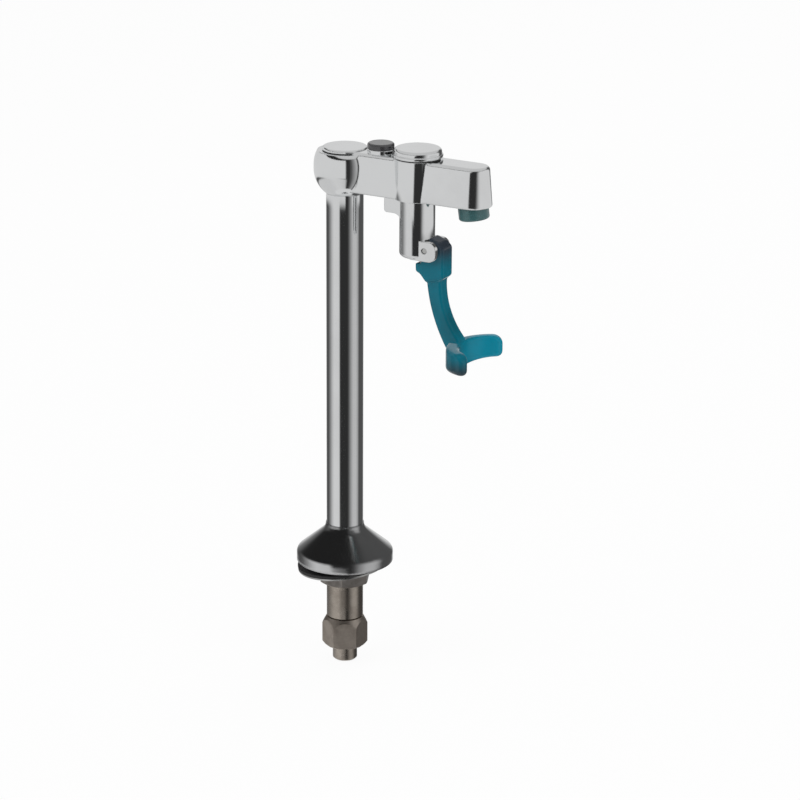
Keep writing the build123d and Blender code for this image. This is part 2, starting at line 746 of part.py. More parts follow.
# Poppet: a plate with a skirt that holds the seat washer
with BuildPart() as poppet:
    plate_bottom = seat_face + seat_washer_thickness
    revolve(half_section(
        (valve_x + stem_thread_radius + fit_clearance, plate_bottom),
        (valve_x + seat_washer_radius, plate_bottom),
        (valve_x + seat_washer_radius, plate_bottom - poppet_skirt),
        (valve_x + poppet_radius, plate_bottom - poppet_skirt),
        (valve_x + poppet_radius, poppet_top),
        (valve_x + stem_thread_radius + fit_clearance, poppet_top),
    ), axis=upright_axis(valve_x))
poppet.part.label = "poppet"
export_step(poppet.part, "parts/poppet.step")

with BuildPart() as poppet_nut:
    with BuildSketch(Plane.XY.offset(poppet_top)):
        with Locations((valve_x, 0)):
            RegularPolygon(poppet_nut_across_flats / 2, 6, major_radius=False)
            Circle(stem_thread_radius + fit_clearance, mode=Mode.SUBTRACT)
    extrude(amount=poppet_nut_height)
poppet_nut.part.label = "poppet_nut"
export_step(poppet_nut.part, "parts/poppet_nut.step")

# Closing spring between the poppet and the valve cap, its end coils cut flat
spring_length = valve_cap_hollow_top - poppet_top
with BuildPart() as closing_spring:
    with BuildLine(Plane.XY.offset(poppet_top + spring_wire / 4)):
        coil = Helix(pitch=(spring_length - spring_wire / 2) / spring_turns,
                     height=spring_length - spring_wire / 2,
                     radius=spring_mean_radius, center=(valve_x, 0, 0))
    with BuildSketch(Plane(origin=coil @ 0, z_dir=coil % 0)):
        Circle(spring_wire / 2)
    sweep(path=coil, is_frenet=True)
    split(bisect_by=Plane.XY.offset(poppet_top), keep=Keep.TOP)
    split(bisect_by=Plane.XY.offset(valve_cap_hollow_top), keep=Keep.BOTTOM)
closing_spring.part.label = "closing_spring"
export_step(closing_spring.part, "parts/closing_spring.step")

# Valve cap: spigot thread, ring and dome, hollow for the spring
ring_top = valve_cap_base + valve_cap_ring_height
with BuildPart() as valve_cap:
    revolve(half_section(
        (valve_x, valve_cap_hollow_top),
        (valve_x + valve_cap_hollow_radius, valve_cap_hollow_top),
        (valve_x + valve_cap_hollow_radius, arm_top - valve_cap_spigot_depth),
        (valve_x + chamber_radius - fit_clearance, arm_top - valve_cap_spigot_depth),
        (valve_x + chamber_radius - fit_clearance, valve_cap_base),
        (valve_x + valve_cap_ring_radius, valve_cap_base),
        (valve_x + valve_cap_ring_radius, ring_top),
        (valve_x + valve_cap_radius, ring_top),
        (valve_x + valve_cap_radius, valve_cap_top),
        (valve_x, valve_cap_top),
    ), axis=upright_axis(valve_x))
    cap_circles = valve_cap.edges().filter_by(GeomType.CIRCLE)
    fillet(cap_circles.group_by(Axis.Z)[-1], radius=valve_cap_round)
    fillet(valve_cap.edges().filter_by(GeomType.CIRCLE).filter_by(
        lambda edge: abs(edge.radius - valve_cap_ring_radius) < fit_clearance), radius=valve_cap_ring_round)
valve_cap.part.label = "valve_cap"
export_step(valve_cap.part, "parts/valve_cap.step")

with BuildPart() as valve_cap_gasket:
    revolve(ring_section(chamber_radius + hidden_gap, tower_radius - valve_gasket_inset,
                         arm_top, valve_cap_base, valve_x), axis=upright_axis(valve_x))
valve_cap_gasket.part.label = "valve_cap_gasket"
export_step(valve_cap_gasket.part, "parts/valve_cap_gasket.step")

# Flow regulator: a quarter-turn plug with a cross hole, held by a bush and turned by its cap
bush_top = arm_top + regulator_bush_height
plug_neck_top = bush_top + regulator_socket_depth
with BuildPart() as regulator_spindle:
    revolve(half_section(
        (regulator_x, regulator_plug_bottom),
        (regulator_x + regulator_plug_radius, regulator_plug_bottom),
        (regulator_x + regulator_plug_radius, regulator_plug_top),
        (regulator_x + regulator_neck_radius, regulator_plug_top),
        (regulator_x + regulator_neck_radius, plug_neck_top),
        (regulator_x, plug_neck_top),
    ), axis=upright_axis(regulator_x))
    with BuildSketch(Plane.YZ.offset(regulator_x)):
        with Locations((0, inlet_passage_z)):
            Circle(inlet_passage_radius)
    extrude(amount=regulator_plug_radius + 1, both=True, mode=Mode.SUBTRACT)
regulator_spindle.part.label = "regulator_spindle"
export_step(regulator_spindle.part, "parts/regulator_spindle.step")

bush_bottom = arm_top - regulator_spigot_depth
bush_bore_radius = regulator_neck_radius + fit_clearance
bush_groove_low = bush_bottom + bush_groove_rise
bush_groove_high = bush_groove_low + 2 * (seal_section_radius + free_play)
bush_groove_radius = bush_bore_radius + 2 * seal_section_radius
with BuildPart() as regulator_bush:
    revolve(half_section(
        (regulator_x + bush_bore_radius, bush_bottom),
        (regulator_x + regulator_spigot_radius - fit_clearance, bush_bottom),
        (regulator_x + regulator_spigot_radius - fit_clearance, arm_top),
        (regulator_x + regulator_bush_radius, arm_top),
        (regulator_x + regulator_bush_radius, bush_top),
        (regulator_x + bush_bore_radius, bush_top),
        (regulator_x + bush_bore_radius, bush_groove_high),
        (regulator_x + bush_groove_radius, bush_groove_high),
        (regulator_x + bush_groove_radius, bush_groove_low),
        (regulator_x + bush_bore_radius, bush_groove_low),
    ), axis=upright_axis(regulator_x))
    fillet(regulator_bush.edges().filter_by(GeomType.CIRCLE).group_by(Axis.Z)[-1]
           .sort_by(SortBy.RADIUS)[-1], radius=regulator_bush_round)
regulator_bush.part.label = "regulator_bush"
export_step(regulator_bush.part, "parts/regulator_bush.step")

with BuildPart() as regulator_seal:
    with Locations((regulator_x, 0, (bush_groove_low + bush_groove_high) / 2)):
        Torus(bush_bore_radius + seal_section_radius, seal_section_radius - seal_skin_gap)
regulator_seal.part.label = "regulator_seal"
export_step(regulator_seal.part, "parts/regulator_seal.step")

cap_base = bush_top + hidden_gap
with BuildPart() as regulator_cap:
    revolve(half_section(
        (regulator_x, plug_neck_top),
        (regulator_x + regulator_neck_radius, plug_neck_top),
        (regulator_x + regulator_neck_radius, cap_base),
        (regulator_x + regulator_cap_radius, cap_base),
        (regulator_x + regulator_cap_radius, cap_base + regulator_cap_height),
        (regulator_x, cap_base + regulator_cap_height),
    ), axis=upright_axis(regulator_x))
    fillet(regulator_cap.edges().filter_by(GeomType.CIRCLE).group_by(Axis.Z)[-1], radius=regulator_cap_round)
regulator_cap.part.label = "regulator_cap"
export_step(regulator_cap.part, "parts/regulator_cap.step")

# Outlet nozzle, leaning forward, its collar cut level with the arm
nozzle_seal_radius = (nozzle_groove_depth - free_play) / 2
with BuildPart() as outlet_nozzle:
    with BuildSketch(nozzle_plane.offset(-nozzle_drop)):
        Circle(nozzle_radius)
    extrude(amount=2 * nozzle_drop)
    split(bisect_by=Plane.XY.offset(arm_bottom), keep=Keep.BOTTOM)
    fillet(outlet_nozzle.edges().filter_by(GeomType.CIRCLE), radius=nozzle_round)
    with BuildSketch(nozzle_plane.offset(-2)):
        Circle(nozzle_spigot_radius)
    extrude(amount=2 + nozzle_spigot_length)
    with BuildSketch(nozzle_plane.offset(nozzle_groove_rise)):
        Circle(nozzle_spigot_radius + 1)
        Circle(nozzle_spigot_radius - nozzle_groove_depth, mode=Mode.SUBTRACT)
    extrude(amount=nozzle_groove_width, mode=Mode.SUBTRACT)
    with BuildSketch(nozzle_plane.offset(-nozzle_drop)):
        Circle(nozzle_bore_radius)
    extrude(amount=nozzle_drop + nozzle_spigot_length, mode=Mode.SUBTRACT)
    with BuildSketch(nozzle_plane.offset(-nozzle_drop)):
        Circle(nozzle_mouth_radius)
    extrude(amount=nozzle_mouth_depth, mode=Mode.SUBTRACT)
outlet_nozzle.part.label = "outlet_nozzle"
export_step(outlet_nozzle.part, "parts/outlet_nozzle.step")

with BuildPart() as nozzle_seal:
    with Locations(nozzle_plane.offset(nozzle_groove_rise + nozzle_groove_width / 2)):
        Torus(nozzle_spigot_radius - nozzle_groove_depth / 2, nozzle_seal_radius)
nozzle_seal.part.label = "nozzle_seal"
export_step(nozzle_seal.part, "parts/nozzle_seal.step")

with BuildPart() as flow_straightener:
    with BuildSketch(nozzle_plane.offset(straightener_inset - nozzle_drop)):
        Circle(nozzle_mouth_radius - fit_clearance)
        with HexLocations(straightener_hole_pitch / 2, 5, 5):
            Circle(straightener_hole_radius, mode=Mode.SUBTRACT)
    extrude(amount=nozzle_mouth_depth - straightener_inset)
flow_straightener.part.label = "flow_straightener"
export_step(flow_straightener.part, "parts/flow_straightener.step")

# Pin through fork and lever
with BuildPart() as lever_pin:
    with BuildSketch(Plane.XZ):
        with Locations((pivot_x, pivot_z)):
            Circle(pin_radius - fit_clearance)
    extrude(amount=fork_half_width - pin_recess, both=True)
    chamfer(lever_pin.edges().filter_by(GeomType.CIRCLE), length=pin_chamfer)
lever_pin.part.label = "lever_pin"
export_step(lever_pin.part, "parts/lever_pin.step")

# Push-back lever, moulded in one piece: toe, head with hood and heel, curved arm and crescent pad
hood_top = pivot_z + hood_rise
hood_front = pivot_x + hood_reach
skirt_bottom = pivot_z - skirt_drop
heel_back = pivot_x - heel_reach
heel_bottom = pivot_z - heel_drop_below_pivot
heel_gap = pivot_z - barrel_bottom + stop_gap + heel_reach * sin(radians(lever_travel))
heel_top = pivot_z - heel_gap / cos(radians(lever_travel))
hood_back = valve_x + barrel_radius + stop_gap
head_back = pivot_x - toe_neck
head_half_width = lever_head_width / 2
neck_back = (pivot_x - heel_neck_setback, pivot_z - heel_neck_drop)
neck_front = (hood_front - skirt_corner, skirt_bottom - skirt_corner)
pad_back = pivot_x + pad_reach
pad_bottom = pivot_z - pad_drop - pad_height
pad_top = pad_bottom + pad_height
pad_outer = pad_back - pad_thickness / 2
pad_inner = pad_back + pad_thickness / 2
pad_tip = pad_thickness / 2 + pad_tip_lead
pad_tip_turn = radians(pad_half_angle)
pad_tip_x = pad_back + pad_arc_radius * (1 - cos(pad_tip_turn))
pad_tip_y = pad_arc_radius * sin(pad_tip_turn)
foot_back = (pad_outer - foot_inset, pad_top - arm_foot_depth)
foot_front = (pad_inner - foot_inset, pad_top + foot_front_rise)


def bowed(start, end, bow):
    """Point beside the middle of a line, to the left of it seen from start to end."""
    length = ((end[0] - start[0]) ** 2 + (end[1] - start[1]) ** 2) ** 0.5
    along_x = (end[0] - start[0]) / length
    along_z = (end[1] - start[1]) / length
    return ((start[0] + end[0]) / 2 - bow * along_z, (start[1] + end[1]) / 2 + bow * along_x)


with BuildPart() as lever_arm:
    with BuildSketch(Plane.XZ):
        with BuildLine():
            ThreePointArc(neck_back, bowed(neck_back, foot_back, -arm_back_bow), foot_back)
            Polyline(foot_back, (pad_back - foot_half_depth, pad_bottom + foot_rise),
                     (pad_back + foot_half_depth, pad_bottom + foot_rise), foot_front)
            ThreePointArc(foot_front, bowed(foot_front, neck_front, arm_front_bow), neck_front)
            Polyline(neck_front, (hood_front - skirt_corner, skirt_bottom), (pivot_x, heel_bottom), neck_back)
        make_face()
    extrude(amount=lever_arm_width / 2, both=True)
    fillet(lever_arm.faces().filter_by(Axis.Y).edges().filter_by(GeomType.CIRCLE), radius=lever_arm_round)

with BuildPart() as lever_pad:
    with BuildSketch(Plane.XY.offset(pad_bottom - pad_belly)):
        SlotArc(CenterArc((pad_back + pad_arc_radius, 0), pad_arc_radius,
                          180 - pad_half_angle, 2 * pad_half_angle, mode=Mode.PRIVATE), pad_thickness)
    extrude(amount=pad_height + pad_belly)
    # Upper corner of each tip, rounded as seen square to the pad there
    for side in (-1, 1):
        tip_plane = Plane(
            origin=(pad_tip_x, side * pad_tip_y, pad_top),
            x_dir=(sin(pad_tip_turn), side * cos(pad_tip_turn), 0),
            z_dir=(side * cos(pad_tip_turn), -sin(pad_tip_turn), 0),
        )
        with BuildSketch(tip_plane):
            with BuildLine():
                Polyline((pad_tip, -pad_tip_round), (pad_tip + 1, -pad_tip_round), (pad_tip + 1, 1),
                         (pad_tip - pad_tip_round, 1), (pad_tip - pad_tip_round, 0))
                RadiusArc((pad_tip - pad_tip_round, 0), (pad_tip, -pad_tip_round), pad_tip_round)
            make_face()
        extrude(amount=pad_thickness, both=True, mode=Mode.SUBTRACT)
    fillet(lever_pad.edges().filter_by(lambda edge: edge.center().Z > pad_top - pad_tip_round),
           radius=pad_top_round)
    pad_half_span = pad_tip_y + pad_thickness / 2
    with BuildSketch(Plane.YZ):
        with BuildLine():
            Polyline((-pad_half_span, pad_top), (pad_half_span, pad_top), (pad_half_span, pad_bottom),
                     (0, pad_bottom - pad_belly), (-pad_half_span, pad_bottom), close=True)
        make_face()
        fillet(vertices().group_by(Axis.Y)[0], radius=pad_belly_round)
    extrude(amount=2 * pad_back, mode=Mode.INTERSECT)
    pad_underside = lever_pad.edges().filter_by(lambda edge: edge.center().Z < pad_bottom)
    fillet(pad_underside.filter_by(GeomType.LINE, reverse=True), radius=pad_foot_round)

with BuildPart() as lever:
    # Head between the fork's cheeks
    with BuildSketch(Plane.XZ):
        with BuildLine():
            Polyline((hood_back, hood_top), (hood_front - hood_corner, hood_top - hood_front_drop),
                     (hood_front, hood_top - hood_front_drop - hood_corner), (hood_front, skirt_bottom),
                     neck_front, neck_back, (heel_back + heel_corner, heel_bottom - heel_corner / 2),
                     (heel_back, heel_bottom), (heel_back, heel_top), (head_back, heel_top),
                     (head_back, pivot_z + toe_radius), (hood_back, pivot_z + hood_back_rise), close=True)
        make_face()
    extrude(amount=head_half_width, both=True)
    fillet(lever.edges().filter_by(Axis.Y).filter_by_position(
        Axis.X, hood_front - hood_corner - 0.1, hood_front + 0.1).filter_by_position(
        Axis.Z, pivot_z, hood_top), radius=hood_round)
    fillet(lever.faces().filter_by(Axis.Y).edges().filter_by(
        lambda edge: edge.center().X > pivot_x + hood_reach / 2 or edge.center().Z < heel_bottom),
        radius=lever_head_round)
    # Toe under the stem
    with BuildSketch(Plane.XZ):
        with Locations((valve_x, pivot_z)):
            Circle(toe_radius)
        with Locations(((valve_x + head_back + 1) / 2, pivot_z)):
            Rectangle(head_back + 1 - valve_x, 2 * toe_radius)
    extrude(amount=toe_width / 2, both=True)
    add(lever_arm.part)
    add(lever_pad.part)
    # Hole for the pin
    with BuildSketch(Plane.XZ):
        with Locations((pivot_x, pivot_z)):
            Circle(pin_radius + fit_clearance)
    extrude(amount=fork_half_width, both=True, mode=Mode.SUBTRACT)
lever.part.label = "lever"
export_step(lever.part, "parts/lever.step")
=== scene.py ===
import math

import bpy
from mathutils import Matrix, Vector


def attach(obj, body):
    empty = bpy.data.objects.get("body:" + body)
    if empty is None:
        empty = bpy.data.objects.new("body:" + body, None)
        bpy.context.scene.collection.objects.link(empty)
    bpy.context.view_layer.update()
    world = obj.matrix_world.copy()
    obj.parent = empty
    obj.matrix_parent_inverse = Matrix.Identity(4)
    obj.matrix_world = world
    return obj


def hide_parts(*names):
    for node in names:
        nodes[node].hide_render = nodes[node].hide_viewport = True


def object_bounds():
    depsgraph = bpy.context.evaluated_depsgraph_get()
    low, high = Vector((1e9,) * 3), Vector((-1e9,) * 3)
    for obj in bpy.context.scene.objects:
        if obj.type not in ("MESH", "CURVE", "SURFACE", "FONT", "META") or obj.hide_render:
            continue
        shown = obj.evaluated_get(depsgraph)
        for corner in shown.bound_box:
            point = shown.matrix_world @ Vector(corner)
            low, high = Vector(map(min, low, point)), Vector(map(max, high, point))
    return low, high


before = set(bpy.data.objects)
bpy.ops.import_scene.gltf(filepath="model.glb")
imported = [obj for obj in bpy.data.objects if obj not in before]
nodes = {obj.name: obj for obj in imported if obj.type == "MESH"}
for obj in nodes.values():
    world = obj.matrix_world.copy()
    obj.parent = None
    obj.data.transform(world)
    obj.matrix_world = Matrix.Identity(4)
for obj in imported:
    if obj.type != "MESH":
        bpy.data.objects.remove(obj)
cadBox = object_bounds()
print("frame loaded:", len(nodes), "CAD nodes")

cameraView = {
    "place": (1.0405, -1.7663, 0.8059),
    "turn": (71.4, 0.0, 30.5),  # degrees
    "lens": 141.8,
    "sensor": 36.0,
    "shift": 0.06875,
}


def makeCamera(view):
    turn = [math.radians(angle) for angle in view["turn"]]
    bpy.ops.object.camera_add(location=view["place"], rotation=turn)
    camera = bpy.context.object
    camera.data.lens = view["lens"]
    camera.data.sensor_width = view["sensor"]
    camera.data.shift_x = view["shift"]
    bpy.context.scene.camera = camera


bpy.context.scene.view_settings.view_transform = "Standard"
makeCamera(cameraView)
print("camera placed")


def deselect():
    bpy.ops.object.select_all(action="DESELECT")


# helpers for node trees; a value is either a number or the socket that it comes from

def setSocket(tree, socket, value):
    if isinstance(value, bpy.types.NodeSocket):
        tree.links.new(value, socket)
    else:
        socket.default_value = value


def addNode(tree, kind, settings=None, **inputs):
    node = tree.nodes.new(kind)
    for key, value in (settings or {}).items():
        setattr(node, key, value)
    for key, value in inputs.items():
        setSocket(tree, node.inputs[key.replace("_", " ")], value)
    return node


def mathNode(tree, operation, *values, clamp=False):
    node = addNode(tree, "ShaderNodeMath", {"operation": operation, "use_clamp": clamp})
    for socket, value in zip(node.inputs, values):
        setSocket(tree, socket, value)
    return node.outputs["Value"]


def vectorNode(tree, operation, *values):
    node = addNode(tree, "ShaderNodeVectorMath", {"operation": operation})
    for socket, value in zip(node.inputs, values):
        setSocket(tree, socket, value)
    return node.outputs


def product(tree, first, *others):
    for other in others:
        first = mathNode(tree, "MULTIPLY", first, other)
    return first


def mixColour(tree, amount, first, second):
    mix = addNode(tree, "ShaderNodeMix", {"data_type": "RGBA"})
    tree.links.new(amount, mix.inputs[0])
    for socket, value in zip(mix.inputs[6:8], (first, second)):  # the two colours
        plain = not isinstance(value, bpy.types.NodeSocket)
        setSocket(tree, socket, (*value, 1.0) if plain else value)
    return mix.outputs[2]


def newGroup(name, numbers, outputs, vectors=()):
    tree = bpy.data.node_groups.new(name, "ShaderNodeTree")
    for label, value in numbers.items():
        socket = tree.interface.new_socket(label, in_out="INPUT", socket_type="NodeSocketFloat")
        socket.default_value = value
    for label in vectors:
        tree.interface.new_socket(label, in_out="INPUT", socket_type="NodeSocketVector")
    for label, kind in outputs.items():
        tree.interface.new_socket(label, in_out="OUTPUT", socket_type="NodeSocket" + kind)
    return tree, tree.nodes.new("NodeGroupInput"), tree.nodes.new("NodeGroupOutput")


def useGroup(tree, group, **values):
    node = tree.nodes.new("ShaderNodeGroup")
    node.node_tree = group
    for key, value in values.items():
        setSocket(tree, node.inputs[key], value)
    return node.outputs


def newMaterial(name):
    material = bpy.data.materials.new(name)
    material.use_nodes = True
    tree = material.node_tree
    return material, tree, tree.nodes["Principled BSDF"]


# handling marks: broad smudges and fine polishing grain as masks, and a slow wave
handling = {
    "smudgeDetail": 5.0,
    "smudgeRoughness": 0.62,
    "smudgeFrom": 0.42,
    "smudgeTo": 0.72,
    "grainDetail": 3.0,
    "grainRoughness": 0.6,
    "waveDetail": 1.0,
    "waveRoughness": 0.4,
}


def makeHandlingGroup(settings):
    tree, given, result = newGroup(
        "handlingMarks",
        {"smudgeScale": 40.0, "grainScale": 900.0, "grainStretch": 1.0, "waveScale": 45.0},
        {"smudge": "Float", "grain": "Float", "wave": "Float"})
    place = addNode(tree, "ShaderNodeTexCoord").outputs["Object"]
    smudge = addNode(tree, "ShaderNodeTexNoise", Vector=place, Scale=given.outputs["smudgeScale"],
                     Detail=settings["smudgeDetail"], Roughness=settings["smudgeRoughness"])
    shaped = addNode(tree, "ShaderNodeMapRange", Value=smudge.outputs["Fac"],
                     From_Min=settings["smudgeFrom"], From_Max=settings["smudgeTo"])
    stretch = addNode(tree, "ShaderNodeCombineXYZ", X=1.0, Y=1.0, Z=given.outputs["grainStretch"])
    squeezed = vectorNode(tree, "MULTIPLY", place, stretch.outputs["Vector"])["Vector"]
    grain = addNode(tree, "ShaderNodeTexNoise", Vector=squeezed, Scale=given.outputs["grainScale"],
                    Detail=settings["grainDetail"], Roughness=settings["grainRoughness"])
    wave = addNode(tree, "ShaderNodeTexNoise", Vector=place, Scale=given.outputs["waveScale"],
                   Detail=settings["waveDetail"], Roughness=settings["waveRoughness"])
    tree.links.new(shaped.outputs["Result"], result.inputs["smudge"])
    tree.links.new(grain.outputs["Fac"], result.inputs["grain"])
    tree.links.new(wave.outputs["Fac"], result.inputs["wave"])
    return tree


# edges: a mask that is 1 along an outer edge and 0 on the flats, and the normal rounded over it
edging = {
    "radius": 0.0005,
    "gain": 6.0,
    "samples": 4,
}


def makeEdgeGroup(settings):
    tree, given, result = newGroup(
        "wornEdges", {"radius": settings["radius"], "gain": settings["gain"]},
        {"edge": "Float", "rounded": "Vector"})
    plain = addNode(tree, "ShaderNodeNewGeometry").outputs["Normal"]
    rounded = addNode(tree, "ShaderNodeBevel", {"samples": settings["samples"]},
                      Radius=given.outputs["radius"]).outputs["Normal"]
    same = vectorNode(tree, "DOT_PRODUCT", plain, rounded)["Value"]
    away = mathNode(tree, "SUBTRACT", 1.0, same)
    strong = mathNode(tree, "MULTIPLY", away, given.outputs["gain"], clamp=True)
    tree.links.new(strong, result.inputs["edge"])
    tree.links.new(rounded, result.inputs["rounded"])
    return tree


# relief: slow swell under fine grain, on a given normal
def makeReliefGroup():
    tree, given, result = newGroup(
        "relief",
        {"swell": 0.5, "swellDepth": 0.0, "grain": 0.5, "grainDepth": 0.0, "strength": 0.3},
        {"normal": "Vector"}, vectors=("base",))
    under = addNode(tree, "ShaderNodeBump", Strength=1.0, Distance=given.outputs["swellDepth"],
                    Height=given.outputs["swell"], Normal=given.outputs["base"])
    over = addNode(tree, "ShaderNodeBump", Strength=given.outputs["strength"],
                   Distance=given.outputs["grainDepth"], Height=given.outputs["grain"],
                   Normal=under.outputs["Normal"])
    tree.links.new(over.outputs["Normal"], result.inputs["normal"])
    return tree


handlingMarks = makeHandlingGroup(handling)
wornEdges = makeEdgeGroup(edging)
relief = makeReliefGroup()


# the share of a painted patch of shade or light on a surface
def paintedShadeShare(tree, paintedShade):  # full at the centre, gone at the reach, along each axis in metres
    place = addNode(tree, "ShaderNodeTexCoord").outputs["Object"]
    away = vectorNode(tree, "SUBTRACT", place, paintedShade["centre"])["Vector"]
    scaled = vectorNode(tree, "DIVIDE", away, paintedShade["reach"])["Vector"]
    length = vectorNode(tree, "LENGTH", scaled)["Value"]
    share = addNode(tree, "ShaderNodeMapRange", {"interpolation_type": "SMOOTHSTEP"}, Value=length,
                    From_Min=paintedShade["core"], From_Max=1.0, To_Min=paintedShade["share"], To_Max=0.0)
    return share.outputs["Result"]


def finishFrom(name, look):
    material, tree, shader = newMaterial(name)
    shader.inputs["Metallic"].default_value = look["metallic"]
    marks = useGroup(tree, handlingMarks, smudgeScale=look["smudgeScale"],
                     grainScale=look["grainScale"], grainStretch=look["grainStretch"])
    colour = mixColour(tree, marks["smudge"], look["colour"], look["smudgeColour"])
    normal = addNode(tree, "ShaderNodeNewGeometry").outputs["Normal"]
    if "edge" in look:
        edge = look["edge"]
        worn = useGroup(tree, wornEdges, radius=edge["radius"], gain=edge["gain"])
        colour = mixColour(tree, worn["edge"], colour, edge["colour"])
    if "softEdge" in look:  # plating and polish round every edge a little
        normal = useGroup(tree, wornEdges, radius=look["softEdge"])["rounded"]
    # painted shade and painted light laid over the colour
    for paintedShade in look.get("paintedShades", ()):
        colour = mixColour(tree, paintedShadeShare(tree, paintedShade), colour, paintedShade["colour"])
    tree.links.new(colour, shader.inputs["Base Color"])
    smooth, rough = look["roughness"]
    roughness = addNode(tree, "ShaderNodeMapRange", To_Min=smooth, To_Max=rough,
                        Value=marks["smudge"])
    tree.links.new(roughness.outputs["Result"], shader.inputs["Roughness"])
    surface = useGroup(tree, relief, swell=marks["wave"], swellDepth=look.get("wave", 0.0),
                       grain=marks["grain"], grainDepth=look["bumpHeight"],
                       strength=look["bump"], base=normal)
    tree.links.new(surface["normal"], shader.inputs["Normal"])
    for key, value in look.get("shader", {}).items():
        shader.inputs[key].default_value = value
    return material


